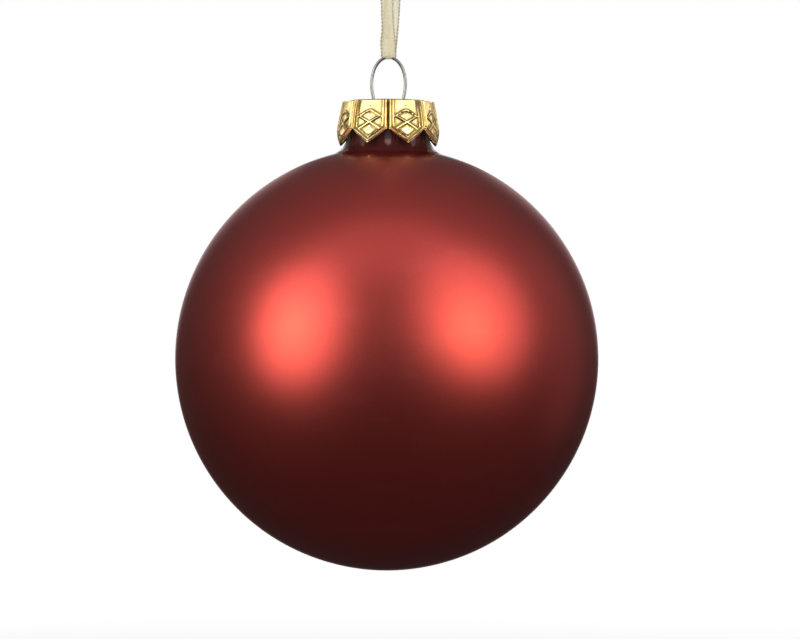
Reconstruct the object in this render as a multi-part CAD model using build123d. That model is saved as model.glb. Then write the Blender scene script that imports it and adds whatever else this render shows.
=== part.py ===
from build123d import *
import os
from math import cos, pi, radians, sin, sqrt, tan

# Glass ball ornament, in millimetres. It is modelled about the ball's centre with +Z up and
# one corner of the eight-sided cap towards -Y, then lowered so that the origin is the hang
# point: the inside top of the ribbon loop, where a hook or twig carries the ornament.

# --- driving dimensions -------------------------------------------------------------------
ball_d = 80.0
glass_wall = 0.8
neck_r = 7.75
neck_top_z = 48.4
neck_blend_r = 4.0
neck_rim_r = 0.3

facet_count = 8
cap_sheet = 0.2
cap_top_z = neck_top_z + cap_sheet
cap_top_r = 8.85
cap_base_r = 9.65
cap_base_z = 43.2
cap_tip_r = 9.8
cap_tip_z = 40.4
cap_corner_r = 0.8
cap_edge_r = 0.5
tooth_end_half_w = 0.12

wire_r = 0.3
loop_half_w = 3.2
loop_wide_z = 52.0
loop_top_z = 57.1
loop_arch_deg = (35, 65, 90)
loop_foot_half_w = 2.7
leg_waist_half_w = 2.5
leg_waist_z = 46.9
leg_spread_half_w = 6.45
leg_spread_z = 38.6
leg_end_half_w = 5.85
leg_end_z = 35.6
slot_w = 1.0
slot_inner_x = 2.0
slot_outer_x = 3.65
slot_depth = 2.0

hang_z = 105.0
ribbon_t = 0.25
ribbon_w = 3.0
bight_inner_r = 0.85
bight_w = 2.5
bight_taper_h = 5.0
eye_inner_r = 3.5
knot_size = (4.2, 3.6, 4.0)
knot_round = 1.2
tail_length = 9.0
tail_foot_h = 2.8
tail_lean_deg = 22.0
tail_cut_deg = 35.0
tail_foot_x = 0.5

# Edges are found by height, to within this much.
edge_tolerance = 0.01

ball_r = ball_d / 2
to_hang_point = Pos(0, 0, -hang_z)


def edges_at(shape, z):
    """The edges that lie flat at a height."""
    return shape.edges().filter_by_position(Axis.Z, z - edge_tolerance, z + edge_tolerance)


# --- glass ball ---------------------------------------------------------------------------
def make_glass_ball():
    """Hollow blown ball with an open neck: one wall of even thickness, turned about Z."""
    inner_r = ball_r - glass_wall
    bore_r = neck_r - glass_wall
    # The outside blend between ball and neck is an arc whose centre lies outside the glass;
    # the inside of the wall follows the same centre.
    blend_x = neck_r + neck_blend_r
    blend_z = sqrt((ball_r + neck_blend_r) ** 2 - blend_x**2)
    blend_top = Vector(blend_x, 0, blend_z)
    outward = blend_top.normalized()
    halfway = (outward + Vector(1, 0, 0)).normalized()
    inner_blend_r = neck_blend_r + glass_wall

    outer_foot = outward * ball_r
    inner_foot = outward * inner_r
    outer = ThreePointArc((0, 0, -ball_r), (ball_r, 0, 0), outer_foot)
    outer_blend = ThreePointArc(
        outer_foot,
        blend_top - halfway * neck_blend_r,
        (neck_r, 0, blend_z),
    )
    neck_outside = Line((neck_r, 0, blend_z), (neck_r, 0, neck_top_z))
    rim = Line((neck_r, 0, neck_top_z), (bore_r, 0, neck_top_z))
    neck_inside = Line((bore_r, 0, neck_top_z), (bore_r, 0, blend_z))
    inner_blend = ThreePointArc(
        (bore_r, 0, blend_z),
        blend_top - halfway * inner_blend_r,
        inner_foot,
    )
    inner = ThreePointArc(inner_foot, (inner_r, 0, 0), (0, 0, -inner_r))
    pole = Line((0, 0, -inner_r), (0, 0, -ball_r))
    outline = [outer, outer_blend, neck_outside, rim, neck_inside, inner_blend, inner, pole]
    shell = revolve(make_face(outline), Axis.Z)
    return fillet(edges_at(shell, neck_top_z).filter_by(GeomType.CIRCLE), neck_rim_r)


# --- cap ----------------------------------------------------------------------------------
def octagon(corner_distance, z):
    """Eight-sided outline with rounded corners at a height, a corner on the -Y axis."""
    outline = RegularPolygon(corner_distance, facet_count)
    rounded = fillet(outline.vertices(), cap_corner_r)
    return Pos(0, 0, z) * rounded


def prism(lower_r, lower_z, upper_r, upper_z):
    """Tapered eight-sided block between two heights."""
    return loft([octagon(lower_r, lower_z), octagon(upper_r, upper_z)], ruled=True)


def make_tooth_gap(index):
    """Wedge that parts two teeth at a corner of the cap, its point up."""
    half_w = cap_tip_r * sin(pi / facet_count) - tooth_end_half_w
    depth = cap_base_z - cap_tip_z
    below = 1.0
    spread = half_w * (depth + below) / depth
    triangle = make_face(
        Polyline(
            (0, 0, cap_base_z),
            (0, -spread, cap_tip_z - below),
            (0, spread, cap_tip_z - below),
            close=True,
        )
    )
    wedge = extrude(triangle, amount=2 * cap_tip_r, dir=(1, 0, 0))
    return Rot(0, 0, index * 360 / facet_count) * wedge


def make_cap():
    """Drawn sheet cap: crown, outward skirt cut into teeth, two slots for the wire."""
    corner = 1 / cos(pi / facet_count)
    skirt_r = cap_tip_r * corner
    crown = prism(cap_base_r, cap_base_z, cap_top_r, cap_top_z)
    crown = fillet(edges_at(crown, cap_top_z), cap_edge_r)
    skirt = prism(skirt_r, cap_tip_z, cap_base_r, cap_base_z)

    sheet = cap_sheet * corner
    hollow_top_z = cap_top_z - cap_sheet
    hollow = prism(cap_base_r - sheet, cap_base_z, cap_top_r - sheet, hollow_top_z)
    hollow = fillet(edges_at(hollow, hollow_top_z), cap_edge_r - cap_sheet)
    skirt_hollow = prism(skirt_r - sheet, cap_tip_z, cap_base_r - sheet, cap_base_z)

    cap = (crown + skirt) - (hollow + skirt_hollow)
    for index in range(facet_count):
        cap -= make_tooth_gap(index)
    slot_x = (slot_inner_x + slot_outer_x) / 2
    slot_length = slot_outer_x - slot_inner_x
    for side in (-1, 1):
        slot = extrude(SlotOverall(slot_length, slot_w), amount=slot_depth, both=True)
        cap -= Pos(side * slot_x, 0, cap_top_z) * slot
    return cap


# --- hanger wire --------------------------------------------------------------------------
def make_hanger_wire():
    """One bent spring wire: an egg-shaped loop above the cap, two legs spread in the neck."""
    arch_h = loop_top_z - loop_wide_z
    half = []
    for turn in loop_arch_deg:
        half.append((loop_half_w * sin(radians(turn)), loop_wide_z + arch_h * cos(radians(turn))))
    half += [
        (loop_foot_half_w, cap_top_z),
        (leg_waist_half_w, leg_waist_z),
        (leg_spread_half_w, leg_spread_z),
        (leg_end_half_w, leg_end_z),
    ]
    left = [(-x, 0, z) for x, z in reversed(half)]
    right = [(x, 0, z) for x, z in half]
    path = Spline(left + [(0, 0, loop_top_z)] + right)
    section = Plane(origin=path @ 0, z_dir=path % 0) * Circle(wire_r)
    return sweep(section, path)


# --- ribbon -------------------------------------------------------------------------------
def belt(lower_r, upper_r):
    """Filled outline in the YZ plane of a band pulled tight round two rollers."""
    lower_z = loop_top_z
    upper_z = hang_z - eye_inner_r
    rise = upper_z - lower_z
    # Both straight sides lean outwards by the same angle, set by the two radii.
    lean = (upper_r - lower_r) / rise
    along_y = sqrt(1 - lean**2)
    lower_touch = (0, lower_r * along_y, lower_z - lower_r * lean)
    upper_touch = (0, upper_r * along_y, upper_z - upper_r * lean)
    mirrored_lower = (0, -lower_touch[1], lower_touch[2])
    mirrored_upper = (0, -upper_touch[1], upper_touch[2])
    outline = [
        ThreePointArc(mirrored_lower, (0, 0, lower_z - lower_r), lower_touch),
        Line(lower_touch, upper_touch),
        ThreePointArc(upper_touch, (0, 0, upper_z + upper_r), mirrored_upper),
        Line(mirrored_upper, mirrored_lower),
    ]
    return make_face(outline)


def make_tail(side):
    """One trimmed ribbon end that leans out of the top of the knot."""
    foot_z = hang_z + tail_foot_h
    slant = ribbon_w * tan(radians(tail_cut_deg))
    outline = make_face(
        Polyline(
            (-ribbon_w / 2, 0, 0),
            (ribbon_w / 2, 0, 0),
            (ribbon_w / 2, 0, tail_length),
            (-ribbon_w / 2, 0, tail_length - slant),
            close=True,
        )
    )
    strip = extrude(outline, amount=ribbon_t / 2, dir=(0, 1, 0), both=True)
    if side < 0:
        strip = mirror(strip, Plane.YZ)
    place = Pos(side * tail_foot_x, side * ribbon_t, foot_z)
    return place * Rot(0, side * tail_lean_deg, 0) * strip


def make_ribbon():
    """One strip: bight under the wire, two strands, the hang eye, a knot and two tails."""
    band = belt(bight_inner_r + ribbon_t, eye_inner_r + ribbon_t)
    band -= belt(bight_inner_r, eye_inner_r)
    strip = extrude(band, amount=ribbon_w / 2, dir=(1, 0, 0), both=True)
    # The strip is gathered where it passes through the wire loop.
    bottom_z = loop_top_z - 2 * bight_inner_r
    full_z = loop_top_z + bight_taper_h
    top_z = hang_z + knot_size[2]
    front_view = make_face(
        Polyline(
            (-bight_w / 2, 0, bottom_z),
            (bight_w / 2, 0, bottom_z),
            (bight_w / 2, 0, loop_top_z + bight_inner_r),
            (ribbon_w / 2, 0, full_z),
            (ribbon_w / 2, 0, top_z),
            (-ribbon_w / 2, 0, top_z),
            (-ribbon_w / 2, 0, full_z),
            (-bight_w / 2, 0, loop_top_z + bight_inner_r),
            close=True,
        )
    )
    strip &= extrude(front_view, amount=2 * eye_inner_r, dir=(0, 1, 0), both=True)
    knot = Box(*knot_size)
    knot = fillet(knot.edges(), knot_round)
    strip += Pos(0, 0, hang_z + knot_size[2] / 2) * knot
    for side in (-1, 1):
        strip += make_tail(side)
    return strip


# --- write the pieces ---------------------------------------------------------------------
pieces = {
    "glass_ball": make_glass_ball(),
    "cap": make_cap(),
    "hanger_wire": make_hanger_wire(),
    "ribbon": make_ribbon(),
}
os.makedirs("parts", exist_ok=True)
for name, shape in pieces.items():
    export_step(to_hang_point * shape, f"parts/{name}.step")
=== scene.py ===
from math import cos, pi, radians, sin, sqrt, tan

import bpy
import numpy as np
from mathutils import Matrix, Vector, geometry, noise


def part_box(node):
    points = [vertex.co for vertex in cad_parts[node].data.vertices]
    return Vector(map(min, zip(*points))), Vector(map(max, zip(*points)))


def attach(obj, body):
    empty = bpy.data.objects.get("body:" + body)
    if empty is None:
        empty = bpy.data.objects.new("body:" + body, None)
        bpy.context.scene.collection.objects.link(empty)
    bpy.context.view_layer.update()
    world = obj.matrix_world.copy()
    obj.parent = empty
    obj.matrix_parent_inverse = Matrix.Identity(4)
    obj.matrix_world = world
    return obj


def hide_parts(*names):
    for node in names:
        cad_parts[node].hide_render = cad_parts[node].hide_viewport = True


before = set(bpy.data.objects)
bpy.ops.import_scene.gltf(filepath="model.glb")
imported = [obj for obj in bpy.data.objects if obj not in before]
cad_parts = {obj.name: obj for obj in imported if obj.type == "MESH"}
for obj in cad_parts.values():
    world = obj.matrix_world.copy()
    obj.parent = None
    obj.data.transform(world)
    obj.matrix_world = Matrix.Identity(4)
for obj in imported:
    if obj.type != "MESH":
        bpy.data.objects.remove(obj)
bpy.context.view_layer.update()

# Lengths of the pieces are in millimetres in the part's own frame, and become metres in
# make_mesh. The studio's panels and the scales of the textures are in metres.
MM = 0.001


# --- places taken from the frame ----------------------------------------------------------
def box_mm(cad_node):
    """Low and high corner of one CAD node's box."""
    low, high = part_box(cad_node)
    return np.array(low) / MM, np.array(high) / MM


BALL_LOW, BALL_HIGH = box_mm("glass_ball")
CAP_LOW, CAP_HIGH = box_mm("cap")
WIRE_LOW, WIRE_HIGH = box_mm("hanger_wire")
RIBBON_TOP_Z = box_mm("ribbon")[1][2]

BALL_R = (BALL_HIGH[0] - BALL_LOW[0]) / 2
BALL_Z = BALL_LOW[2] + BALL_R
NECK_TOP_Z = BALL_HIGH[2]
CAP_TOP_Z = CAP_HIGH[2]
CAP_TIP_Z = CAP_LOW[2]
WIRE_R = (WIRE_HIGH[1] - WIRE_LOW[1]) / 2
LOOP_TOP_Z = WIRE_HIGH[2] - WIRE_R
LEG_END_Z = WIRE_LOW[2] + WIRE_R


# --- mesh helpers -------------------------------------------------------------------------
def grid_faces(rows, columns, close_rows=False, close_columns=False):
    """Quads over a grid of points that is stored row by row."""
    faces = []
    for i in range(rows if close_rows else rows - 1):
        low = i * columns
        high = (i + 1) % rows * columns
        for j in range(columns if close_columns else columns - 1):
            k = (j + 1) % columns
            faces.append((low + j, low + k, high + k, high + j))
    return faces


def fan(centre, ring):
    """Triangles from one point to a closed ring of points."""
    return [(centre, ring[i - 1], ring[i]) for i in range(len(ring))]


def make_mesh(name, points, faces):
    """A mesh object from points in millimetres and faces."""
    mesh = bpy.data.meshes.new(name)
    mesh.from_pydata((np.asarray(points) * MM).tolist(), [], faces)
    mesh.update()
    made = bpy.data.objects.new(name, mesh)
    bpy.context.scene.collection.objects.link(made)
    return made


def finish_piece(made, materials, body, cad_node, sharp_deg=50):
    """Smooth shading with crisp folds, materials, the body it rides on and what it replaces."""
    for material in materials:
        made.data.materials.append(material)
    made.data.shade_smooth()
    made.data.set_sharp_from_angle(angle=radians(sharp_deg))
    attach(made, body)
    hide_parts(cad_node)
    return made


def smooth_path(points, count):
    """Natural cubic spline through some points, sampled evenly by chord length."""
    points = np.asarray(points, float)
    steps = np.linalg.norm(np.diff(points, axis=0), axis=1)
    at = np.concatenate([[0], np.cumsum(steps)])
    size = len(points)
    system = np.eye(size)
    right = np.zeros_like(points)
    for i in range(1, size - 1):
        before, after = steps[i - 1], steps[i]
        system[i, i - 1 : i + 2] = before, 2 * (before + after), after
        right[i] = 6 * ((points[i + 1] - points[i]) / after - (points[i] - points[i - 1]) / before)
    bend = np.linalg.solve(system, right)
    where = np.linspace(0, at[-1], count)
    index = np.clip(np.searchsorted(at, where, side="right") - 1, 0, size - 2)
    gap = steps[index][:, None]
    along = (where - at[index])[:, None]
    back = gap - along
    return (
        (bend[index] * back**3 + bend[index + 1] * along**3) / (6 * gap)
        + (points[index] / gap - bend[index] * gap / 6) * back
        + (points[index + 1] / gap - bend[index + 1] * gap / 6) * along
    )


def bump_shape(distance, half_width):
    """One in the middle of a ridge, falling smoothly to nothing at its half width."""
    share = np.clip(1 - (distance / half_width) ** 2, 0, None)
    return share**2


def rise(value, start, end):
    """Smooth step from 0 to 1 between two values."""
    t = np.clip((value - start) / (end - start), 0, 1)
    return t * t * (3 - 2 * t)


# --- node helpers -------------------------------------------------------------------------
def node(tree, kind, inputs=None, **settings):
    """A shader node with its inputs set to values or joined to other nodes' outputs."""
    made = tree.nodes.new(kind)
    for key, value in settings.items():
        setattr(made, key, value)
    for key, value in (inputs or {}).items():
        if isinstance(value, bpy.types.NodeSocket):
            tree.links.new(value, made.inputs[key])
        else:
            made.inputs[key].default_value = value
    return made


def principled(tree, output, inputs):
    """A principled surface with these inputs, joined to the material's output."""
    shader = node(tree, "ShaderNodeBsdfPrincipled", inputs)
    tree.links.new(shader.outputs[0], output.inputs[0])


def new_material(name):
    """An empty material, its node tree, its object coordinates and its output node."""
    material = bpy.data.materials.new(name)
    material.use_nodes = True
    tree = material.node_tree
    tree.nodes.clear()
    place = node(tree, "ShaderNodeTexCoord").outputs["Object"]
    output = node(tree, "ShaderNodeOutputMaterial")
    return material, tree, place, output


def calc(tree, operation, first, second=0.0):
    """One step of arithmetic on values or sockets."""
    return node(tree, "ShaderNodeMath", {0: first, 1: second}, operation=operation).outputs[0]


def noise_value(tree, place, scale, detail=2.0, rough=0.5):
    """Noise from 0 to 1, whose scale is in cells per metre."""
    inputs = {"Vector": place, "Scale": scale, "Detail": detail, "Roughness": rough}
    return node(tree, "ShaderNodeTexNoise", inputs).outputs["Fac"]


def remap(tree, value, low, high, new_low, new_high, smooth=False):
    """A value stretched from one range to another and held inside it."""
    kind = "SMOOTHSTEP" if smooth else "LINEAR"
    inputs = {0: value, 1: low, 2: high, 3: new_low, 4: new_high}
    made = node(tree, "ShaderNodeMapRange", inputs, interpolation_type=kind, clamp=True)
    return made.outputs[0]


def mix_colour(tree, factor, first, second):
    """The first colour where the factor is 0 and the second where it is 1."""
    made = node(tree, "ShaderNodeMix", data_type="RGBA")
    for index, value in ((0, factor), (6, first), (7, second)):
        if isinstance(value, bpy.types.NodeSocket):
            tree.links.new(value, made.inputs[index])
        else:
            made.inputs[index].default_value = value
    return made.outputs[2]


def bump(tree, height, strength, distance, below=None):
    """A normal bent by a height, on top of another bent normal if there is one."""
    inputs = {"Height": height, "Strength": strength, "Distance": distance}
    if below is not None:
        inputs["Normal"] = below
    return node(tree, "ShaderNodeBump", inputs).outputs["Normal"]


# --- glass ball ---------------------------------------------------------------------------
WALL = 0.8
NECK_R = 7.75
NECK_BLEND_R = 4.0
NECK_RIM_R = 0.3
BALL_COLUMNS = 256
# A blown wall swells and dips by this much, in waves of about this many millimetres.
SWELL = 0.05
SWELL_WAVE = 20
# Points along each stretch of the wall's section.
OUTSIDE_ROWS = 150
OUTER_BLEND_ROWS = 28
NECK_ROWS = 12
RIM_ROWS = 6
INNER_BLEND_ROWS = 16
INSIDE_ROWS = 90
# The neck's painted shade, with its glossier and less metallic lacquer, begins NECK_FINISH_DROP
# below the top of the ball's sphere and is full NECK_FINISH_FADE higher. The shoulder turns glossy
# over
# SHOULDER_FADE below that.
NECK_FINISH_DROP = 1.5
NECK_FINISH_FADE = 1.0
SHOULDER_FADE = 2.6


def arc(centre_x, centre_z, radius, start_deg, end_deg, count):
    """Points on an arc in the profile plane, angles measured from +X towards +Z."""
    turns = np.radians(np.linspace(start_deg, end_deg, count))
    return [(centre_x + radius * cos(a), centre_z + radius * sin(a)) for a in turns]


def ball_profile():
    """Radius and height round the wall's section, and the rows where its finish changes."""
    blend_x = NECK_R + NECK_BLEND_R
    blend_z = sqrt((BALL_R + NECK_BLEND_R) ** 2 - blend_x**2)
    foot_deg = np.degrees(np.arctan2(blend_z, blend_x))
    rim_z = NECK_TOP_Z - BALL_Z - NECK_RIM_R
    bore_r = NECK_R - WALL
    outside = arc(0, 0, BALL_R, -90, foot_deg, OUTSIDE_ROWS)[1:]
    outside += arc(blend_x, blend_z, NECK_BLEND_R, foot_deg + 180, 180, OUTER_BLEND_ROWS)[1:]
    outside += [(NECK_R, z) for z in np.linspace(blend_z, rim_z, NECK_ROWS)[1:]]
    rim = arc(NECK_R - NECK_RIM_R, rim_z, NECK_RIM_R, 0, 90, RIM_ROWS)[1:]
    rim += arc(bore_r + NECK_RIM_R, rim_z, NECK_RIM_R, 90, 180, RIM_ROWS)
    inside = [(bore_r, z) for z in np.linspace(rim_z, blend_z, NECK_ROWS)[1:]]
    inside += arc(blend_x, blend_z, NECK_BLEND_R + WALL, 180, foot_deg + 180, INNER_BLEND_ROWS)[1:]
    inside += arc(0, 0, BALL_R - WALL, foot_deg, -90, INSIDE_ROWS)[1:-1]
    return np.array(outside + rim + inside), len(outside), len(outside) + len(rim)


def make_ball():
    """The blown wall turned round the axis, its outside a little untrue as blown glass is."""
    profile, rim_row, inner_row = ball_profile()
    rows = len(profile)
    turns = np.arange(BALL_COLUMNS) * 2 * pi / BALL_COLUMNS
    points = []
    for i, (radius, height) in enumerate(profile):
        for a in turns:
            spot = Vector((radius * cos(a), radius * sin(a), height)) * (1 / SWELL_WAVE)
            swell = 0.0 if i >= rim_row else SWELL * noise.noise(spot)
            far = radius * (1 + swell / BALL_R)
            points.append((far * cos(a), far * sin(a), BALL_Z + height * (1 + swell / BALL_R)))
    faces = grid_faces(rows, BALL_COLUMNS, close_columns=True)
    outer_pole = len(points)
    inner_pole = outer_pole + 1
    points.append((0, 0, BALL_Z - BALL_R))
    points.append((0, 0, BALL_Z - BALL_R + WALL))
    faces += fan(outer_pole, list(range(BALL_COLUMNS))[::-1])
    faces += fan(inner_pole, list(range((rows - 1) * BALL_COLUMNS, rows * BALL_COLUMNS)))
    made = make_mesh("blown_ball", points, faces)
    finish_piece(
        made,
        [lacquer_material(), cut_glass_material(), silvering_material()],
        "ball",
        "glass_ball",
    )
    for face in made.data.polygons:
        row = min(face.vertices) // BALL_COLUMNS
        # The last faces are the fan that closes the inside at the bottom.
        if row >= inner_row or face.index >= rows * BALL_COLUMNS:
            face.material_index = 2
        elif row >= rim_row - 1:
            face.material_index = 1


def lacquer_material():
    """Satin dark red metallic lacquer over silvered glass, glossier on the neck, with painted shade
    there.
    """
    material, tree, place, output = new_material("red_lacquer")
    patches = noise_value(tree, place, 28.0, 3.0, 0.55)
    grain = noise_value(tree, place, 5200.0, 1.0, 0.5)
    deep = (0.50, 0.055, 0.047, 1)
    warm = (0.56, 0.063, 0.053, 1)
    # Painted shade colour for the neck.
    neck = (0.115, 0.026, 0.030, 1)
    scuffed = (0.66, 0.20, 0.19, 1)
    colour = mix_colour(tree, remap(tree, patches, 0.3, 0.7, 0.0, 1.0), deep, warm)
    grain_shade = remap(tree, grain, 0.3, 0.7, 0.93, 1.05)
    colour = node(tree, "ShaderNodeVectorMath", {0: colour, 3: grain_shade}, operation="SCALE")
    height = node(tree, "ShaderNodeSeparateXYZ", {0: place}).outputs["Z"]
    foot_z = (BALL_Z + BALL_R - NECK_FINISH_DROP) * MM
    on_neck = remap(tree, height, foot_z, foot_z + NECK_FINISH_FADE * MM, 0.0, 1.0, smooth=True)
    # Painted shade: the neck, which lies in the shadow of the cap's teeth, is coloured much darker.
    colour = mix_colour(tree, on_neck, colour.outputs[0], neck)
    # Faint dull scuffs from handling, drawn out sideways, where the skin scatters more light.
    drawn = node(tree, "ShaderNodeMapping", {"Vector": place, "Scale": (0.5, 0.5, 1.6)}).outputs[0]
    scuffs = noise_value(tree, drawn, 110.0, 6.0, 0.62)
    scuffs = remap(tree, scuffs, 0.56, 0.72, 0.0, 1.0, smooth=True)
    scuffs = calc(tree, "MULTIPLY", scuffs, calc(tree, "SUBTRACT", 1.0, on_neck))
    colour = mix_colour(tree, calc(tree, "MULTIPLY", scuffs, 0.07), colour, scuffed)
    satin = calc(tree, "ADD", calc(tree, "MULTIPLY", scuffs, 0.02), 0.36)
    rough = calc(tree, "SUBTRACT", satin, calc(tree, "MULTIPLY", on_neck, 0.16))
    grazing = node(tree, "ShaderNodeLayerWeight", {"Blend": 0.5}).outputs["Facing"]
    coat_rough = remap(tree, grazing, 0.80, 0.97, 0.50, 0.16)
    # Near the neck the skin turns glossy and mirrors the teeth of the cap.
    shoulder = remap(tree, height, foot_z - SHOULDER_FADE * MM, foot_z, 0.0, 1.0, smooth=True)
    coat_rough = calc(tree, "MULTIPLY", coat_rough, remap(tree, shoulder, 0.0, 1.0, 1.0, 0.26))
    coat = remap(tree, shoulder, 0.0, 1.0, 0.35, 0.80)
    coat_ior = remap(tree, shoulder, 0.0, 1.0, 1.45, 2.0)
    peel = noise_value(tree, place, 1500.0, 2.0, 0.5)
    normal = bump(tree, peel, 0.25, 0.004 * MM)
    surface = {
        "Base Color": colour,
        "Metallic": calc(tree, "SUBTRACT", 1.0, calc(tree, "MULTIPLY", on_neck, 0.5)),
        "Roughness": rough,
        "Coat Weight": coat,
        "Coat Roughness": coat_rough,
        "Coat IOR": coat_ior,
        "Normal": normal,
    }
    principled(tree, output, surface)
    return material


def cut_glass_material():
    """The cracked-off and ground rim of the neck: bare greenish glass."""
    material, tree, place, output = new_material("bare_glass_rim")
    chips = noise_value(tree, place, 2600.0, 4.0, 0.7)
    green = (0.50, 0.56, 0.52, 1)
    frosted = (0.72, 0.76, 0.73, 1)
    colour = mix_colour(tree, chips, green, frosted)
    surface = {
        "Base Color": colour,
        "Roughness": remap(tree, chips, 0.3, 0.7, 0.25, 0.6),
        "IOR": 1.5,
        "Normal": bump(tree, chips, 0.5, 0.03 * MM),
    }
    principled(tree, output, surface)
    return material


def silvering_material():
    """The thin mirror coat inside the ball, slightly clouded and brown in places."""
    material, tree, place, output = new_material("silvered_inside")
    clouds = noise_value(tree, place, 90.0, 5.0, 0.65)
    silver = (0.78, 0.76, 0.72, 1)
    clouded = (0.55, 0.48, 0.40, 1)
    colour = mix_colour(tree, clouds, silver, clouded)
    surface = {
        "Base Color": colour,
        "Metallic": 1.0,
        "Roughness": remap(tree, clouds, 0.35, 0.75, 0.12, 0.42),
    }
    principled(tree, output, surface)
    return material


# --- cap ----------------------------------------------------------------------------------
FACETS = 8
HALF_FACET = pi / FACETS
SHEET = 0.2
# The teeth begin at CAP_BASE_Z. An apothem is how far a facet stands from the axis.
CAP_BASE_Z = BALL_Z + 43.2
TOOTH_H = CAP_BASE_Z - CAP_TIP_Z
CAP_TOP_APOTHEM = 8.0
CAP_BASE_APOTHEM = 8.8
FLARE_START_Z = CAP_BASE_Z + 0.5
TOOTH_FLARE = 0.22
CAP_EDGE_R = 0.35
FACET_BULGE = 0.48
DENT_DEPTH = 0.09
DENT_WAVES_PER_MM = 0.55
# Density of the cap's mesh.
FACET_COLUMNS = 56
SIDE_ROWS = 64
EDGE_ROWS = 8
TOP_RINGS = 26
TOP_SPACING = 0.34
# Place and half width of the two raised lines down each side of a facet, measured from its
# seam, and of the two along each edge of its tooth, measured from that edge. Then their heights.
OUTER_LINE_IN, OUTER_LINE_HALF_W = 0.46, 0.28
INNER_LINE_IN, INNER_LINE_HALF_W = 1.08, 0.20
TOOTH_OUTER_IN, TOOTH_OUTER_HALF_W = 0.32, 0.26
TOOTH_INNER_IN, TOOTH_INNER_HALF_W = 0.84, 0.20
OUTER_LINE_H = 0.26
INNER_LINE_H = 0.20
# The pointed field with its six-armed star, and the punched spots above and below the middle.
STAR_Z = BALL_Z + 44.25
FIELD_HALF_W = 2.45
FIELD_ABOVE_EDGE = 0.95
ROOF_H = 2.35
ROOF_DEG = 30
ROOF_LINE_HALF_W = 0.20
ARM_DEGS = (30, 150)
ARM_LENGTH = 2.5
ARM_H = 0.24
UPRIGHT_HALF_W = 0.16
SPOTS_UP = (-2.2, 1.75, 3.2)
SPOT_R = 0.22
SPOT_DEPTH = 0.12
FOLD_DEPTH = 0.10
SEAM_DEPTH = 0.42
SEAM_HALF_W = 0.23
# The top's raised ring, its sunken middle and its short spokes.
RING_R = 6.9
RING_H = 0.10
MIDDLE_DEPTH = 0.16
SPOKES = 24
SPOKE_R = 6.1
SPOKE_H = 0.06
SLOT_INNER_X = 2.0
SLOT_OUTER_X = 3.65
SLOT_HALF_W = 0.5
SLOT_STEPS = 14
# Painted shade darkens the hollows, fully where a point lies the depth given below beneath the
# sheet round it, which is averaged over the spread given below in points each way. The inside of
# the cap gets an even painted shade. These places are also rougher.
HOLLOW_SHADE_DEPTH = 0.032
HOLLOW_SHADE_SPREAD = 5
INSIDE_SHADE = 0.3


def apothem_at(z):
    """How far a facet's sheet stands from the axis, flaring a little along the teeth."""
    climb = (z - CAP_BASE_Z) / (CAP_TOP_Z - CAP_BASE_Z)
    upper = CAP_BASE_APOTHEM + (CAP_TOP_APOTHEM - CAP_BASE_APOTHEM) * climb
    drop = np.clip(FLARE_START_Z - z, 0, None)
    return upper + TOOTH_FLARE * (drop / (FLARE_START_Z - CAP_TIP_Z)) ** 1.4


def facet_relief(across, z, half_w, facet):
    """Height of the stamped pattern on one facet, outward from the plain sheet."""
    seam = half_w - np.abs(across)
    edge_z = CAP_BASE_Z - TOOTH_H * (1 - np.abs(across) / half_w)
    above_edge = (z - edge_z) * np.cos(np.arctan2(TOOTH_H, half_w))
    relief = raised_lines(seam, above_edge)
    relief = star_field(across, z - STAR_Z, above_edge, relief)
    # The gathered fold at the top of each seam.
    fold = rise(z, CAP_TOP_Z - 1.5, CAP_TOP_Z - 0.6) * rise(0.9 - seam, 0, 0.7)
    relief = relief - FOLD_DEPTH * fold
    strength = 0.90 + 0.10 * sin(facet * 2.4)
    groove = -SEAM_DEPTH * np.exp(-((seam / SEAM_HALF_W) ** 2))
    return relief * strength + groove


def raised_lines(seam, above_edge):
    """Two lines run down both sides of the facet and on along both edges of the tooth."""
    outer = bump_shape(seam - OUTER_LINE_IN, OUTER_LINE_HALF_W) * rise(above_edge, 0.15, 0.45)
    inner = bump_shape(seam - INNER_LINE_IN, INNER_LINE_HALF_W) * rise(above_edge, 0.7, 0.95)
    tooth_outer = bump_shape(above_edge - TOOTH_OUTER_IN, TOOTH_OUTER_HALF_W) * rise(seam, 0.1, 0.5)
    tooth_inner = bump_shape(above_edge - TOOTH_INNER_IN, TOOTH_INNER_HALF_W) * rise(seam, 0.5, 0.9)
    relief = OUTER_LINE_H * np.maximum(outer, tooth_outer)
    return np.maximum(relief, INNER_LINE_H * np.maximum(inner, tooth_inner))


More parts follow.
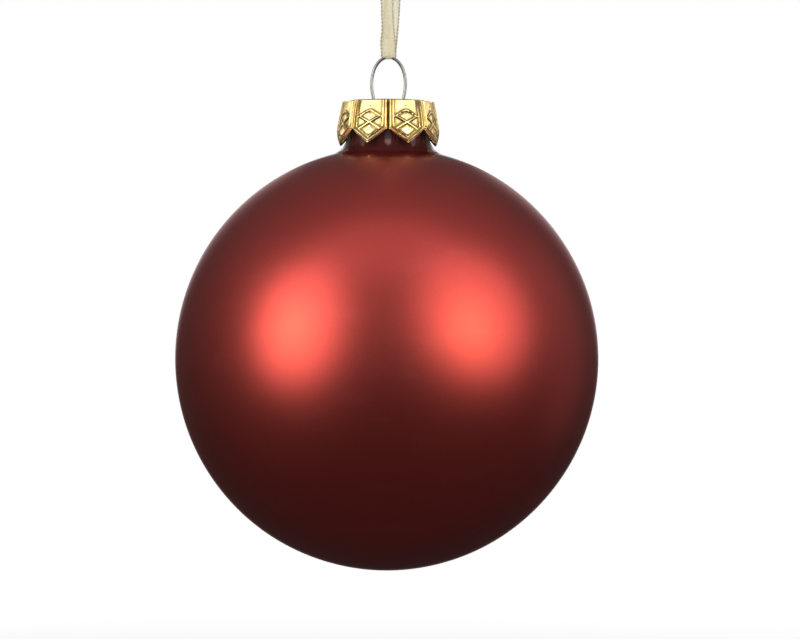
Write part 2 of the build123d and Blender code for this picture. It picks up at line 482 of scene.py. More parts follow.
def star_field(x, y, above_edge, relief):
    """A field with a roof, whose foot is the tooth itself, and a six-armed star in it."""
    roof = radians(ROOF_DEG)
    from_roof = (ROOF_H - y) * cos(roof) - np.abs(x) * sin(roof)
    from_side = FIELD_HALF_W - np.abs(x)
    from_outline = np.minimum(from_roof, from_side)
    raised = bump_shape(from_outline, ROOF_LINE_HALF_W) * rise(above_edge, 0.7, 0.95)
    relief = np.maximum(relief, INNER_LINE_H * raised)
    field = rise(np.minimum(from_outline, above_edge - FIELD_ABOVE_EDGE), 0.1, 0.5)
    from_middle = np.hypot(x, y)
    # The field sinks towards the outline, so each cell between two arms is a small dish.
    relief = relief - field * (0.08 + 0.035 * np.minimum(from_middle, 2.6))
    for turn in ARM_DEGS:
        a = radians(turn)
        off = np.abs(-x * sin(a) + y * cos(a))
        half_width = np.clip(0.36 - 0.04 * from_middle, 0.14, None)
        inside = 1 - rise(from_middle, ARM_LENGTH - 0.3, ARM_LENGTH + 0.1)
        arm = bump_shape(off, half_width) * inside
        relief = np.maximum(relief, ARM_H * arm - 0.04)
    upright = bump_shape(np.abs(x), UPRIGHT_HALF_W) * (1 - rise(from_middle, 1.6, 1.9))
    relief = np.maximum(relief, 0.10 * upright - 0.06)
    for up in SPOTS_UP:
        relief = relief - SPOT_DEPTH * bump_shape(np.hypot(x, y - up), SPOT_R)
    return relief


def dents(across, z, facet):
    """Small uneven dents that thin pressed sheet picks up between the punches."""
    depth = []
    for x, up in zip(across, z):
        spot = Vector((x * DENT_WAVES_PER_MM, up * DENT_WAVES_PER_MM, facet * 7.3))
        depth.append(noise.noise(spot))
    return DENT_DEPTH * np.array(depth)


def cap_side_point(phi, share, facet):
    """Outer surface of the cap's side: phi across one facet, share from tooth edge to top."""
    top_z = CAP_TOP_Z - CAP_EDGE_R
    edge = 1 - abs(tan(phi)) / tan(HALF_FACET)
    low_z = CAP_BASE_Z - TOOTH_H * edge
    z = low_z + (top_z - low_z) * share
    apothem = apothem_at(z)
    across = apothem * tan(phi)
    half_w = apothem * tan(HALF_FACET)
    # Each facet is a shallow pillow that leans back towards the top edge.
    lean = 1 - 0.8 * rise(z, STAR_Z, CAP_TOP_Z + 1.5)
    bulge = FACET_BULGE * (1 - (across / half_w) ** 2) * lean
    # Relief pushes straight out from the axis, so that two facets never cross at a seam.
    radius = apothem / cos(phi) + bulge + dents(across, z, facet)
    radius = radius + facet_relief(across, z, half_w, facet)
    return radius * sin(phi), radius * cos(phi), z


def top_relief(radius, phi):
    """The stamped top: a raised ring, a sunken middle and short spokes, clear of the neck."""
    ring = RING_H * bump_shape(radius - RING_R, 0.45)
    middle = -MIDDLE_DEPTH * (1 - rise(radius, 5.6, 6.4))
    spokes = SPOKE_H * bump_shape(radius - SPOKE_R, 1.1) * (0.5 + 0.5 * np.cos(phi * SPOKES))
    return ring + middle + spokes


def cap_wall():
    """Outer surface of the side and the rounded top edge, rows running up from the teeth."""
    columns = FACETS * FACET_COLUMNS
    shares = np.linspace(0, 1, SIDE_ROWS)
    # Columns crowd towards the seams, where the folds are tight.
    even = (np.arange(FACET_COLUMNS) + 0.5) / FACET_COLUMNS * 2 - 1
    phis = (even + 0.15 * np.sin(pi * even)) * HALF_FACET
    wall = np.zeros((SIDE_ROWS + EDGE_ROWS, columns, 3))
    for facet in range(FACETS):
        facing = (facet + 0.5) * 2 * HALF_FACET
        for k, phi in enumerate(phis):
            across, out, z = cap_side_point(phi, shares, facet)
            j = facet * FACET_COLUMNS + k
            wall[:SIDE_ROWS, j, 0] = out * cos(facing) - across * sin(facing)
            wall[:SIDE_ROWS, j, 1] = out * sin(facing) + across * cos(facing)
            wall[:SIDE_ROWS, j, 2] = z
    rim = wall[SIDE_ROWS - 1]
    rim_r = np.hypot(rim[:, 0], rim[:, 1])
    turn = np.arctan2(rim[:, 1], rim[:, 0])
    for i in range(EDGE_ROWS):
        a = radians(90 * (i + 1) / EDGE_ROWS)
        radius = rim_r - CAP_EDGE_R * (1 - cos(a))
        z = np.full(columns, CAP_TOP_Z - CAP_EDGE_R * (1 - sin(a)))
        row = [radius * np.cos(turn), radius * np.sin(turn), z]
        wall[SIDE_ROWS + i] = np.stack(row, axis=1)
    return wall


def from_slot(x, y):
    """Distance outside the nearer slot's outline, negative inside the slot."""
    inner = SLOT_INNER_X + SLOT_HALF_W
    outer = SLOT_OUTER_X - SLOT_HALF_W
    along = abs(x) - min(max(abs(x), inner), outer)
    return sqrt(along**2 + y**2) - SLOT_HALF_W


def slot_outline(side):
    """A round-ended slot for one leg of the wire."""
    outline = []
    for centre, start in ((SLOT_OUTER_X - SLOT_HALF_W, -90), (SLOT_INNER_X + SLOT_HALF_W, 90)):
        for i in range(SLOT_STEPS + 1):
            a = radians(start + 180 * i / SLOT_STEPS)
            outline.append((side * (centre + SLOT_HALF_W * cos(a)), SLOT_HALF_W * sin(a)))
    return outline


def cap_top(ring):
    """Triangles over the top inside a ring of points, leaving both slots open."""
    spots = list(map(tuple, ring))
    edges = [(i, (i + 1) % len(ring)) for i in range(len(ring))]
    slots = []
    for side in (-1, 1):
        first = len(spots)
        outline = slot_outline(side)
        spots += outline
        slots.append(list(range(first, len(spots))))
        edges += zip(slots[-1], slots[-1][1:] + slots[-1][:1])
    edge_r = min(sqrt(x * x + y * y) for x, y in ring)
    for i in range(1, TOP_RINGS):
        radius = edge_r * i / TOP_RINGS
        count = int(2 * pi * radius / TOP_SPACING)
        for k in range(count):
            a = 2 * pi * (k + 0.5 * (i % 2)) / count
            x, y = radius * cos(a), radius * sin(a)
            if from_slot(x, y) > TOP_SPACING / 2:
                spots.append((x, y))
    flat = [Vector(spot) for spot in spots]
    filled = geometry.delaunay_2d_cdt(flat, edges, [], 0, 1e-6)[2]
    triangles = []
    ring_r = np.hypot(ring[:, 0], ring[:, 1])
    ring_turn = np.unwrap(np.arctan2(ring[:, 1], ring[:, 0]))
    for a, b, c in filled:
        x = (flat[a].x + flat[b].x + flat[c].x) / 3
        y = (flat[a].y + flat[b].y + flat[c].y) / 3
        turn = (np.arctan2(y, x) - ring_turn[0]) % (2 * pi) + ring_turn[0]
        reach = np.interp(turn, ring_turn, ring_r, period=2 * pi)
        if from_slot(x, y) > 0 and sqrt(x * x + y * y) < reach:
            triangles.append((a, b, c))
    return np.array(spots), triangles, slots


def make_cap():
    """The stamped sheet: its outer face, its inner face and the cut edges between them."""
    wall = cap_wall()
    rows, columns = wall.shape[:2]
    spots, triangles, slots = cap_top(wall[-1, :, :2])
    inner_wall = wall - sheet_normals(wall) * SHEET
    inner_wall[-1, :, 2] = CAP_TOP_Z - SHEET
    x, y = spots.T
    top_z = CAP_TOP_Z + top_relief(np.hypot(x, y), np.arctan2(y, x))
    top = np.column_stack([x, y, top_z])[columns:]
    # The top's first points are the wall's last row, so only its later points are new.
    sheet = rows * columns + len(top)
    under = top - np.array((0, 0, SHEET))
    points = np.concatenate([wall.reshape(-1, 3), top, inner_wall.reshape(-1, 3), under])
    first_top = (rows - 1) * columns
    faces = grid_faces(rows, columns, close_columns=True)
    faces += [tuple(first_top + v for v in face) for face in triangles]
    faces += [tuple(sheet + v for v in reversed(face)) for face in faces]
    for j in range(columns):
        k = (j + 1) % columns
        faces.append((k, j, sheet + j, sheet + k))
    for side, slot in zip((-1, 1), slots):
        for a, b in zip(slot, slot[1:] + slot[:1]):
            a, b = first_top + a, first_top + b
            wall_face = (a, b, sheet + b, sheet + a)
            faces.append(wall_face if side > 0 else wall_face[::-1])
    made = make_mesh("stamped_cap", points, faces)
    # Painted shade: how far the hollows of the outer wall and the whole inside of the cap are
    # darkened.
    hollow_shade = np.zeros(len(points))
    hollow_shade[: rows * columns] = hollows(wall).ravel()
    hollow_shade[sheet:] = INSIDE_SHADE
    made.data.attributes.new("hollow_shade", "FLOAT", "POINT").data.foreach_set("value", hollow_shade)
    return finish_piece(made, [gold_material()], "cap", "cap", sharp_deg=55)


def hollows(wall):
    """How deep each point of the wall lies below the sheet round it, from 0 to 1."""
    radius = np.hypot(wall[:, :, 0], wall[:, :, 1])
    around = radius.copy()
    for _ in range(HOLLOW_SHADE_SPREAD):
        padded = np.vstack([around[:1], around, around[-1:]])
        beside = np.roll(around, 1, axis=1) + np.roll(around, -1, axis=1)
        around = (padded[:-2] + padded[2:] + beside) / 4
    return np.clip((around - radius) / HOLLOW_SHADE_DEPTH, 0, 1)


def sheet_normals(grid):
    """Outward unit normals of a grid that closes on itself sideways."""
    sideways = np.roll(grid, -1, axis=1) - np.roll(grid, 1, axis=1)
    upward = np.gradient(grid, axis=0)
    normals = np.cross(sideways, upward)
    return normals / np.linalg.norm(normals, axis=2, keepdims=True)


def gold_material():
    """Gold lacquer on stamped sheet: bright on the ridges, with painted brown shade in the folds
    and hollows.
    """
    material, tree, place, output = new_material("gold_sheet")
    cloud = noise_value(tree, place, 420.0, 4.0, 0.6)
    bright = (0.73, 0.535, 0.222, 1)
    pale = (0.80, 0.635, 0.35, 1)
    # Colour of the painted shade.
    brown = (0.12, 0.065, 0.012, 1)
    colour = mix_colour(tree, remap(tree, cloud, 0.35, 0.7, 0.0, 1.0), bright, pale)
    # Painted shade: the hollows and the inside of the cap turn patchily brown, and rougher.
    hollow_shade = node(tree, "ShaderNodeAttribute", attribute_name="hollow_shade").outputs["Fac"]
    patchy_shade = calc(tree, "MULTIPLY", hollow_shade, remap(tree, cloud, 0.3, 0.7, 0.60, 0.95))
    colour = mix_colour(tree, patchy_shade, colour, brown)
    stretched = node(tree, "ShaderNodeMapping", {"Vector": place, "Scale": (1, 1, 0.12)}).outputs[0]
    scratches = noise_value(tree, stretched, 5200.0, 2.0)
    rough = remap(tree, scratches, 0.3, 0.7, 0.11, 0.22)
    rough = calc(tree, "ADD", rough, calc(tree, "MULTIPLY", hollow_shade, 0.25))
    dents_normal = bump(tree, noise_value(tree, place, 900.0, 2.0, 0.5), 0.3, 0.02 * MM)
    normal = bump(tree, scratches, 0.12, 0.01 * MM, dents_normal)
    surface = {"Base Color": colour, "Metallic": 1.0, "Roughness": rough, "Normal": normal}
    principled(tree, output, surface)
    return material


# --- hanger wire --------------------------------------------------------------------------
LOOP_HALF_W = 3.2
LOOP_WIDE_Z = BALL_Z + 52.0
LOOP_ARCH_DEG = (35, 65, 90)
# Half of the spread between the two sides, from the slots down to the ends of the legs.
SLOT_SPREAD = 2.7
THROAT_SPREAD, THROAT_BELOW_TOP = 2.5, 1.7
LEG_SPREAD, LEG_SPREAD_ABOVE_END = 6.45, 3.0
LEG_END_SPREAD = 5.85
NIPPED_SHARE = 0.72
WIRE_SAMPLES = 420
WIRE_SIDES = 20


def wire_path():
    """Centre line of the bent wire, from the end of one leg over the loop to the other."""
    tall = LOOP_TOP_Z - LOOP_WIDE_Z
    half = []
    for turn in LOOP_ARCH_DEG:
        a = radians(turn)
        half.append((LOOP_HALF_W * sin(a), LOOP_WIDE_Z + tall * cos(a)))
    half += [
        (SLOT_SPREAD, CAP_TOP_Z),
        (THROAT_SPREAD, CAP_TOP_Z - THROAT_BELOW_TOP),
        (LEG_SPREAD, LEG_END_Z + LEG_SPREAD_ABOVE_END),
        (LEG_END_SPREAD, LEG_END_Z),
    ]
    left = [(-x, 0, z) for x, z in reversed(half)]
    right = [(x, 0, z) for x, z in half]
    return smooth_path(left + [(0, 0, LOOP_TOP_Z)] + right, WIRE_SAMPLES)


def make_wire():
    """A round tube along the wire's centre line, with both ends nipped off."""
    path = wire_path()
    along = np.gradient(path, axis=0)
    along /= np.linalg.norm(along, axis=1, keepdims=True)
    side = np.cross(along, (0, 1, 0))
    points = []
    for i, centre in enumerate(path):
        # Nipping leaves a short bevel over the last two rows.
        from_end = min(i, WIRE_SAMPLES - 1 - i)
        radius = WIRE_R * (NIPPED_SHARE + (1 - NIPPED_SHARE) * min(from_end, 2) / 2)
        for k in range(WIRE_SIDES):
            a = 2 * pi * k / WIRE_SIDES
            points.append(centre + radius * (cos(a) * side[i] + sin(a) * np.array((0, 1, 0))))
    faces = grid_faces(WIRE_SAMPLES, WIRE_SIDES, close_columns=True)
    last = (WIRE_SAMPLES - 1) * WIRE_SIDES
    faces += [tuple(range(WIRE_SIDES))[::-1], tuple(range(last, last + WIRE_SIDES))]
    made = make_mesh("spring_wire", points, faces)
    return finish_piece(made, [steel_material()], "hanger", "hanger_wire")


def steel_material():
    """Bright plated spring wire with a trace of tarnish."""
    material, tree, place, output = new_material("plated_steel")
    tarnish = noise_value(tree, place, 140.0, 2.0, 0.5)
    tarnish = remap(tree, tarnish, 0.45, 0.75, 0.0, 1.0)
    plated = (0.33, 0.33, 0.37, 1)
    tarnished = (0.27, 0.26, 0.27, 1)
    colour = mix_colour(tree, tarnish, plated, tarnished)
    surface = {
        "Base Color": colour,
        "Metallic": 1.0,
        "Roughness": remap(tree, tarnish, 0.0, 1.0, 0.30, 0.38),
    }
    principled(tree, output, surface)
    return material


# --- ribbon -------------------------------------------------------------------------------
STRIP_W = 3.0
STRIP_T = 0.14
WEFT_PITCH = 0.28
WARP_PITCH = 0.16
STRIPE_PITCH = 1.85
BEAD_PITCH = 0.70
BEAD_SIZE = 0.10
# The corded edge starts at this share of the half width.
CORD_START = 0.86
# The strip's bight runs this far clear of the wire, and its eye of the hook.
WIRE_GAP = 0.05
EYE_R = 3.5
EYE_GAP = 0.12
LOOP_END_Z = 0.5
# How far each strand drifts sideways, and how far it is twisted above the wire.
FRONT_DRIFT = -0.5
BACK_DRIFT = 0.7
FRONT_TWIST_DEG = 44
BACK_TWIST_DEG = -12
KNOT_LOW = 0.3
KNOT_H = 4.0
TAIL_CUT_DEG = 35
TAIL_CUT_REACH = 4.0
# The ribbon's saddle over the wire bends as the wire's own top does.
WIRE_BEND_R = 2.1
SADDLE_REACH = 1.8
# Lean in degrees, half sizes along X, Y and Z, middle as a share of the knot's height, pleats
# and tuck behind, for each wrap of the knot.
KNOT_WRAPS = (
    (16, 1.45, 1.15, 1.35, 0.46, 5, 0.35),
    (-26, 1.20, 0.95, 1.15, 0.60, 4, 0.25),
)
# Density of the ribbon's mesh.
STRIP_STEP = 0.07
STRIP_CELLS = 16
BAND_ROWS = 120
BAND_SIDES = 48
FRONT_SIDE = -1
BACK_SIDE = 1


def strand(side):
    """One strand of the loop, from the hook's eye down to the wire."""
    bight_r = WIRE_R + WIRE_GAP + STRIP_T / 2
    eye_r = EYE_R + EYE_GAP
    points = []
    for a in (25, 50, 75):
        points.append((0, side * eye_r * sin(radians(a)), -EYE_R + eye_r * cos(radians(a))))
    for share in (0.12, 0.3, 0.5, 0.7, 0.88, 0.96):
        z = -EYE_R + (LOOP_TOP_Z + EYE_R) * share
        y = eye_r + (bight_r - eye_r) * share
        points.append((drift(z, side), side * y, z))
    for a in (80, 40):
        y = side * bight_r * sin(radians(a))
        points.append((0, y, LOOP_TOP_Z - bight_r * cos(radians(a))))
    return points


def drift(z, side):
    """The front strand drifts to the left as it climbs from the wire, the back one right."""
    climb = z - LOOP_TOP_Z
    most = BACK_DRIFT if side == BACK_SIDE else FRONT_DRIFT
    return most * rise(climb, 0.5, 11) * (1 - rise(climb, 20, 42))


def strip_path():
    """Centre line of the strip from one trimmed tail, round the wire, to the other tail."""
    first_tail = [
        (-4.1, 0.9, RIBBON_TOP_Z - 0.5),
        (-3.0, -0.5, KNOT_H + 4.4),
        (-1.3, -0.4, KNOT_H + 1.4),
        (-0.3, -0.25, KNOT_H - 0.6),
        (0.0, -0.3, KNOT_H / 2),
        (0.0, -0.55, KNOT_LOW),
    ]
    second_tail = [
        (0.0, 0.55, KNOT_LOW),
        (0.0, 0.3, KNOT_H / 2),
        (0.3, 0.25, KNOT_H - 0.6),
        (1.2, 0.5, KNOT_H + 1.4),
        (2.6, 0.9, KNOT_H + 4.4),
        (4.3, -0.4, RIBBON_TOP_Z - 0.4),
    ]
    bottom = [(0, 0, LOOP_TOP_Z - WIRE_R - WIRE_GAP - STRIP_T / 2)]
    line = first_tail + strand(FRONT_SIDE) + bottom + strand(BACK_SIDE)[::-1] + second_tail
    rough = smooth_path(line, 3000)
    length = np.linalg.norm(np.diff(rough, axis=0), axis=1).sum()
    return smooth_path(line, int(length / STRIP_STEP))


def strip_frame(path):
    """Unit vectors along the strip, across it and out of its face, after its gentle twist."""
    along = np.gradient(path, axis=0)
    along /= np.linalg.norm(along, axis=1, keepdims=True)
    across = np.array((1.0, 0.0, 0.0)) - along * along[:, :1]
    across /= np.linalg.norm(across, axis=1, keepdims=True)
    outward = np.cross(across, along)
    climb = path[:, 2] - LOOP_TOP_Z
    in_loop = path[:, 2] < LOOP_END_Z
    most = np.where(path[:, 1] < 0, FRONT_TWIST_DEG, BACK_TWIST_DEG)
    twist = most * rise(climb, 0.2, 6) * (1 - rise(path[:, 2], -16, -5))
    twist = np.radians(twist * in_loop)[:, None]
    turned = across * np.cos(twist) + outward * np.sin(twist)
    facing = outward * np.cos(twist) - across * np.sin(twist)
    return along, turned, facing


def woven_strip():
    """Points, faces and weave coordinates of the whole strip, both of its faces and edges."""
    path = strip_path()
    count = len(path)
    along, turned, facing = strip_frame(path)
    travelled = np.arange(count) * STRIP_STEP
    climb = path[:, 2] - LOOP_TOP_Z
    in_loop = path[:, 2] < LOOP_END_Z
    near_wire = (1 - rise(climb, 0.3, 5.0)) * in_loop
    in_knot = rise(path[:, 2], -1.5, 0.5) * (1 - rise(path[:, 2], KNOT_H - 0.8, KNOT_H + 1.6))
    width = 1 - 0.08 * near_wire - 0.45 * in_knot
    beads = 0.5 + 0.5 * np.cos(2 * pi * travelled / BEAD_PITCH)
    weft = 0.5 + 0.5 * np.cos(2 * pi * travelled / WEFT_PITCH)
    pucker = 0.5 + 0.5 * np.sin(travelled * 1.3) * np.sin(travelled * 0.41 + 1)
    cells = np.linspace(-1, 1, STRIP_CELLS + 1)
    rows = []
    for side in (1, -1):
        for u in cells[::side]:
            edge = np.clip((abs(u) - CORD_START) / (1 - CORD_START), 0, 1)
            place = u * STRIP_W / 2 * width + edge * np.sign(u) * BEAD_SIZE * beads
            # Round the wire the strip is saddle-shaped, as far from the hinge line as the
            # bent wire's own sweep, so that the ornament swings without touching it.
            reach = np.clip(place, -SADDLE_REACH, SADDLE_REACH)
            saddle = (WIRE_BEND_R - np.sqrt(WIRE_BEND_R**2 - reach**2)) * near_wire
            away = rise(climb, 1, 7) * in_loop * (1 - near_wire)
            fold = (0.10 + 0.08 * pucker) * np.cos(place * 2.6) * away
            ripple = 0.05 * edge * np.sin(travelled * 2.3 + u) * away
            pinch = 0.5 * np.abs(place) * in_knot
            thick = STRIP_T * (0.40 + 0.20 * weft + edge * (0.5 + 0.4 * beads))
            lift = saddle + fold + ripple - pinch + side * thick / 2
            rows.append(path + turned * place[:, None] + facing * lift[:, None])
    grid = np.stack(rows, axis=1)
    trim_ends(grid, along, np.concatenate([cells, cells[::-1]]))
    ring = grid.shape[1]
    faces = grid_faces(count, ring, close_columns=True)
    faces += end_faces(0, ring, True) + end_faces((count - 1) * ring, ring, False)
    widths = np.concatenate([cells, cells[::-1]]) * STRIP_W / 2
    weave_at = np.stack([np.tile(widths, count), np.repeat(travelled, ring)], axis=1)
    return grid.reshape(-1, 3), faces, weave_at


def trim_ends(grid, along, places):
    """Cuts both tails at a slant by drawing their last rows back across the width."""
    last = grid.shape[0] - 1
    reach = int(TAIL_CUT_REACH / STRIP_STEP)
    slant = tan(radians(TAIL_CUT_DEG)) * STRIP_W / 4
    for i in range(reach):
        ease = (1 - i / reach) ** 1.5
        for j, u in enumerate(places):
            grid[i, j] += along[i] * ease * slant * (1 + u)
            grid[last - i, j] -= along[last - i] * ease * slant * (1 - u)


def end_faces(first, ring, reverse):
    """Closes one end of the strip with a row of quads between its two faces."""
    faces = []
    for j in range(ring // 2 - 1):
        face = (first + j, first + j + 1, first + ring - 2 - j, first + ring - 1 - j)
        faces.append(face if reverse else face[::-1])
    return faces


def knot_band(lean_deg, half_wide, half_deep, half_tall, middle, pleats, tuck):
    """One gathered wrap of the overhand knot: a closed, pleated band round both strands."""
    points, weave_at = [], []
    slope = tan(radians(lean_deg))
    for i in range(BAND_ROWS):
        a = 2 * pi * i / BAND_ROWS
        # The wrap is full at the front and narrows where it tucks under itself behind.
        full = 1 - tuck * (0.5 + 0.5 * cos(a - pi / 2)) ** 2
        out = np.array((cos(a), sin(a), 0.0))
        centre_z = KNOT_H * middle + slope * half_wide * cos(a)
        centre = np.array((half_wide * cos(a), half_deep * sin(a), centre_z))
        for k in range(BAND_SIDES):
            v = 2 * pi * k / BAND_SIDES
            tall = np.sign(sin(v)) * abs(sin(v)) ** 0.8
            deep = np.sign(cos(v)) * abs(cos(v)) ** 0.6
            pleat = 0.09 * cos(pleats * pi * tall + 1.6 * sin(a * 2)) * max(deep, 0)
            point = centre + out * (0.34 * full * deep + pleat)
            point[2] += half_tall * full * tall
            points.append(point)
            weave_at.append((tall * STRIP_W / 2.6, a * half_wide))
    faces = grid_faces(BAND_ROWS, BAND_SIDES, close_rows=True, close_columns=True)
    return np.array(points), faces, np.array(weave_at)


def make_ribbon():
    """The strip and the wraps of its knot in one mesh, with the weave's coordinates."""
    pieces = [woven_strip()] + [knot_band(*wrap) for wrap in KNOT_WRAPS]
    points, faces, weave_at = [], [], []
    for piece_points, piece_faces, piece_weave in pieces:
        first = sum(len(done) for done in points)
        points.append(piece_points)
        faces += [tuple(first + v for v in face) for face in piece_faces]
        weave_at.append(piece_weave)
    made = make_mesh("woven_ribbon", np.concatenate(points), faces)
    weave_at = np.concatenate(weave_at)
    corners = np.empty(len(made.data.loops), np.int32)
    made.data.loops.foreach_get("vertex_index", corners)
    layer = made.data.uv_layers.new(name="strip_mm")
    layer.data.foreach_set("uv", weave_at[corners].astype(np.float32).ravel())
    finish_piece(made, [ribbon_material()], "ribbon", "ribbon", sharp_deg=70)


def ribbon_material():
    """Sheer cream ribbon with a pale gold stripe, corded edges and a fine ribbed weave."""
    material, tree, _, output = new_material("sheer_ribbon")
    uv = node(tree, "ShaderNodeUVMap", uv_map="strip_mm").outputs[0]
    parts = node(tree, "ShaderNodeSeparateXYZ", {0: uv})
    across, along = parts.outputs["X"], parts.outputs["Y"]
    offset = calc(tree, "ABSOLUTE", across)
    cream = (0.98, 0.92, 0.81, 1)
    gold = (0.95, 0.90, 0.66, 1)
    cord = (0.60, 0.55, 0.40, 1)
    stripe = wave(tree, across, STRIPE_PITCH)
    colour = mix_colour(tree, remap(tree, stripe, -0.4, 0.6, 0.0, 1.0), cream, gold)
    at_edge = remap(tree, offset, 1.20, 1.34, 0.0, 1.0, smooth=True)
    beads = remap(tree, wave(tree, along, BEAD_PITCH), -1.0, 1.0, 0.55, 1.0)
    colour = mix_colour(tree, calc(tree, "MULTIPLY", at_edge, beads), colour, cord)
    threads = wave(tree, along, WEFT_PITCH)
    warp = wave(tree, across, WARP_PITCH)
    weave = calc(tree, "MULTIPLY", threads, warp)
    shade = remap(tree, calc(tree, "ADD", weave, threads), -2.0, 2.0, 0.88, 1.08)
    colour = node(tree, "ShaderNodeVectorMath", {0: colour, 3: shade}, operation="SCALE").outputs[0]
    normal = bump(tree, calc(tree, "ADD", weave, threads), 0.5, 0.03 * MM)
    cloth = node(
        tree,
        "ShaderNodeBsdfPrincipled",
        {
            "Base Color": colour,
            "Roughness": 0.5,
            "Sheen Weight": 0.5,
            "Sheen Roughness": 0.3,
            "Normal": normal,
        },
    )
    lit = node(tree, "ShaderNodeBsdfTranslucent", {"Color": colour, "Normal": normal})
    woven = node(tree, "ShaderNodeMixShader", {0: 0.4, 1: cloth.outputs[0], 2: lit.outputs[0]})
    clear = node(tree, "ShaderNodeBsdfTransparent")
    holes = remap(tree, weave, -1.0, 0.4, 0.64, 0.34)
    holes = calc(tree, "MULTIPLY", holes, calc(tree, "SUBTRACT", 1.0, at_edge))
    shown = node(tree, "ShaderNodeMixShader", {0: holes, 1: woven.outputs[0], 2: clear.outputs[0]})
    tree.links.new(shown.outputs[0], output.inputs[0])
    return material


def wave(tree, value, pitch):
    """A cosine from -1 to 1 that repeats every pitch."""
    turns = calc(tree, "MULTIPLY", value, 2 * pi / pitch)
    return node(tree, "ShaderNodeMath", {0: turns}, operation="COSINE").outputs[0]


# --- studio -------------------------------------------------------------------------------
PANEL_DISTANCE = 0.75
NEUTRAL = (1.0, 1.0, 1.0)
WARM = (1.0, 1.0, 0.46)
CREAM = (1.0, 0.90, 0.74)
# Name, azimuth, elevation, width, height, glow and tint of each round soft panel.
PANELS = (
    ("left_wide", -49, 17, 0.68, 0.84, 2.05, NEUTRAL),
    ("left_core", -50, 15, 0.27, 0.38, 4.0, WARM),
    ("right_wide", 50, 21, 0.88, 0.84, 1.52, NEUTRAL),
    ("right_core", 45, 16, 0.28, 0.34, 3.8, WARM),
    ("overhead", 0, 61, 1.05, 0.48, 0.52, NEUTRAL),
    ("right_side", 112, 6, 0.45, 0.90, 0.12, NEUTRAL),
    ("back_left", -164, 12, 0.20, 0.34, 0.6, NEUTRAL),
    ("back_right", 164, 12, 0.20, 0.34, 0.6, NEUTRAL),
)
# Two strips that are flagged off the ball and only edge the cap and the wire.
TRIM_PANELS = (
    ("left_strip", -132, 8, 0.24, 0.70, 1.8, CREAM),
    ("right_strip", 128, 8, 0.26, 0.70, 1.5, CREAM),
)
# Three that the flat top of the cap mirrors when it is seen from a little above.
CAP_PANELS = (
    ("back_wide", 180, 24, 1.10, 0.45, 0.70, CREAM),
    ("left_high", -92, 24, 0.50, 0.42, 0.45, CREAM),
    ("right_high", 92, 24, 0.50, 0.42, 0.45, CREAM),
)
# How bright the room is in reflections, low and high, the share of that which is left behind
# the object, and the glow of the backdrop straight behind it.
ROOM_LOW, ROOM_HIGH = 0.074, 0.30
BACK_SHARE = 0.45
BACKDROP = 0.75
FLOOR_SIDES = 96
FLOOR_R = 600
FLOOR_BELOW_BALL = 60
CAMERA_DISTANCE = 550
CAMERA_X = 2.45
CAMERA_ABOVE_BALL = 7.43
FRAME_W = 151.53
SENSOR_W = 36
ROLL_DEG = -0.35


def soft_panel(name, azimuth, elevation, width, height, glow, tint):
    """A soft panel that faces the ball. Azimuth 0 is at the camera, positive to its right."""
    data = bpy.data.lights.new(name, "AREA")
    data.shape = "ELLIPSE"
    data.size = width
    data.size_y = height
    data.energy = glow * pi * pi / 4 * width * height
    data.color = tint
    made = bpy.data.objects.new(name, data)
    bpy.context.scene.collection.objects.link(made)
    a, e = radians(azimuth), radians(elevation)
    out = Vector((sin(a) * cos(e), -cos(a) * cos(e), sin(e)))
    target = Vector((0, 0, BALL_Z * MM))
    made.location = target + out * PANEL_DISTANCE
    made.rotation_euler = (-out).to_track_quat("-Z", "Y").to_euler()
    made.visible_camera = False
    return made


def make_lights(cap, wire):
    """All the soft panels, those that light some pieces only coming last."""
    for panel in PANELS:
        soft_panel(*panel)
    flagged_panels("cap_and_wire", (cap, wire), TRIM_PANELS)
    flagged_panels("cap_only", (cap,), CAP_PANELS)


def flagged_panels(name, pieces, panels):
    """Panels whose light falls on the given pieces only."""
    lit = bpy.data.collections.new(name)
    for piece in pieces:
        lit.objects.link(piece)
    for panel in panels:
        soft_panel(*panel).light_linking.receiver_collection = lit


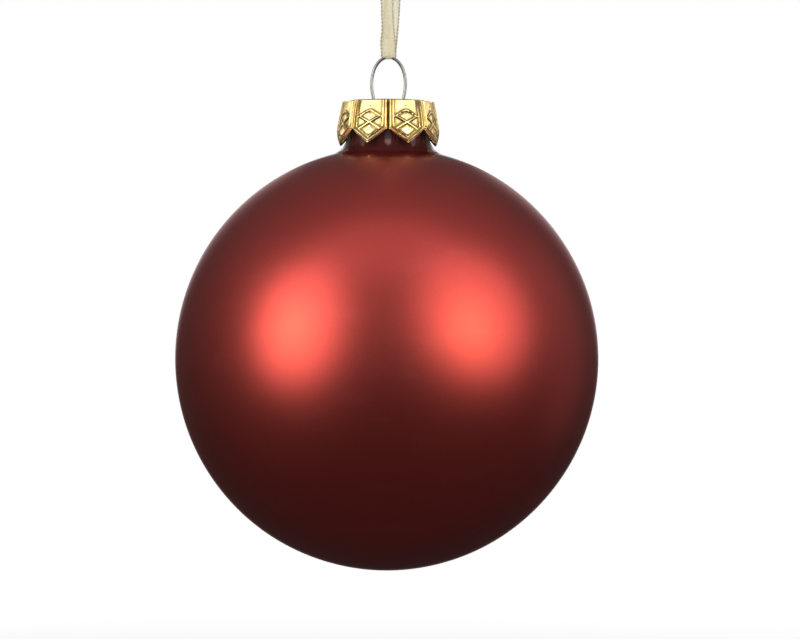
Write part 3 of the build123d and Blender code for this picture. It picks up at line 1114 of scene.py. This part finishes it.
def make_world():
    """White behind the object for the camera, a dim graded room in reflections."""
    world = bpy.data.worlds.new("studio")
    bpy.context.scene.world = world
    world.use_nodes = True
    tree = world.node_tree
    tree.nodes.clear()
    direction = node(tree, "ShaderNodeTexCoord").outputs["Generated"]
    parts = node(tree, "ShaderNodeSeparateXYZ", {0: direction})
    level = remap(tree, parts.outputs["Z"], -0.4, 0.9, ROOM_LOW, ROOM_HIGH, smooth=True)
    behind = remap(tree, parts.outputs["Y"], 0.0, 0.9, 1.0, BACK_SHARE, smooth=True)
    level = calc(tree, "MULTIPLY", level, behind)
    backdrop = remap(tree, parts.outputs["Y"], 0.955, 0.995, 0.0, BACKDROP, smooth=True)
    level = calc(tree, "ADD", level, backdrop)
    seen = node(tree, "ShaderNodeLightPath").outputs["Is Camera Ray"]
    strength = node(tree, "ShaderNodeMix", {0: seen, 2: level, 3: 1.0}).outputs[0]
    background = node(tree, "ShaderNodeBackground", {"Color": (1, 1, 1, 1), "Strength": strength})
    output = node(tree, "ShaderNodeOutputWorld")
    tree.links.new(background.outputs[0], output.inputs[0])


def make_floor():
    """A pale round floor below the ball, whose rim fades into the white room."""
    floor_z = BALL_Z - BALL_R - FLOOR_BELOW_BALL
    points = [(0, 0, floor_z)]
    for i in range(FLOOR_SIDES):
        a = 2 * pi * i / FLOOR_SIDES
        points.append((FLOOR_R * cos(a), FLOOR_R * sin(a), floor_z))
    floor = make_mesh("floor", points, fan(0, list(range(1, FLOOR_SIDES + 1))))
    material, tree, place, output = new_material("pale_floor")
    matte = node(tree, "ShaderNodeBsdfDiffuse", {"Color": (0.85, 0.85, 0.84, 1)})
    white = node(tree, "ShaderNodeEmission", {"Color": (1, 1, 1, 1), "Strength": 1.0})
    far = node(tree, "ShaderNodeVectorMath", {0: place}, operation="LENGTH").outputs["Value"]
    fade = remap(tree, far, 0.25, 0.55, 0.35, 1.0, smooth=True)
    mixed = node(tree, "ShaderNodeMixShader", {0: fade, 1: matte.outputs[0], 2: white.outputs[0]})
    tree.links.new(mixed.outputs[0], output.inputs[0])
    floor.data.materials.append(material)
    floor.visible_glossy = False


def make_camera():
    """View along +Y, a little right of and above the middle of the ball, with a slight roll."""
    data = bpy.data.cameras.new("camera")
    data.sensor_width = SENSOR_W
    data.lens = SENSOR_W * CAMERA_DISTANCE / FRAME_W
    made = bpy.data.objects.new("camera", data)
    bpy.context.scene.collection.objects.link(made)
    made.location = Vector((CAMERA_X, -CAMERA_DISTANCE, BALL_Z + CAMERA_ABOVE_BALL)) * MM
    made.rotation_euler = (pi / 2, radians(ROLL_DEG), 0)
    bpy.context.scene.camera = made
    bpy.context.scene.view_settings.view_transform = "Standard"


make_ball()
cap = make_cap()
wire = make_wire()
make_ribbon()
make_lights(cap, wire)
make_world()
make_floor()
make_camera()
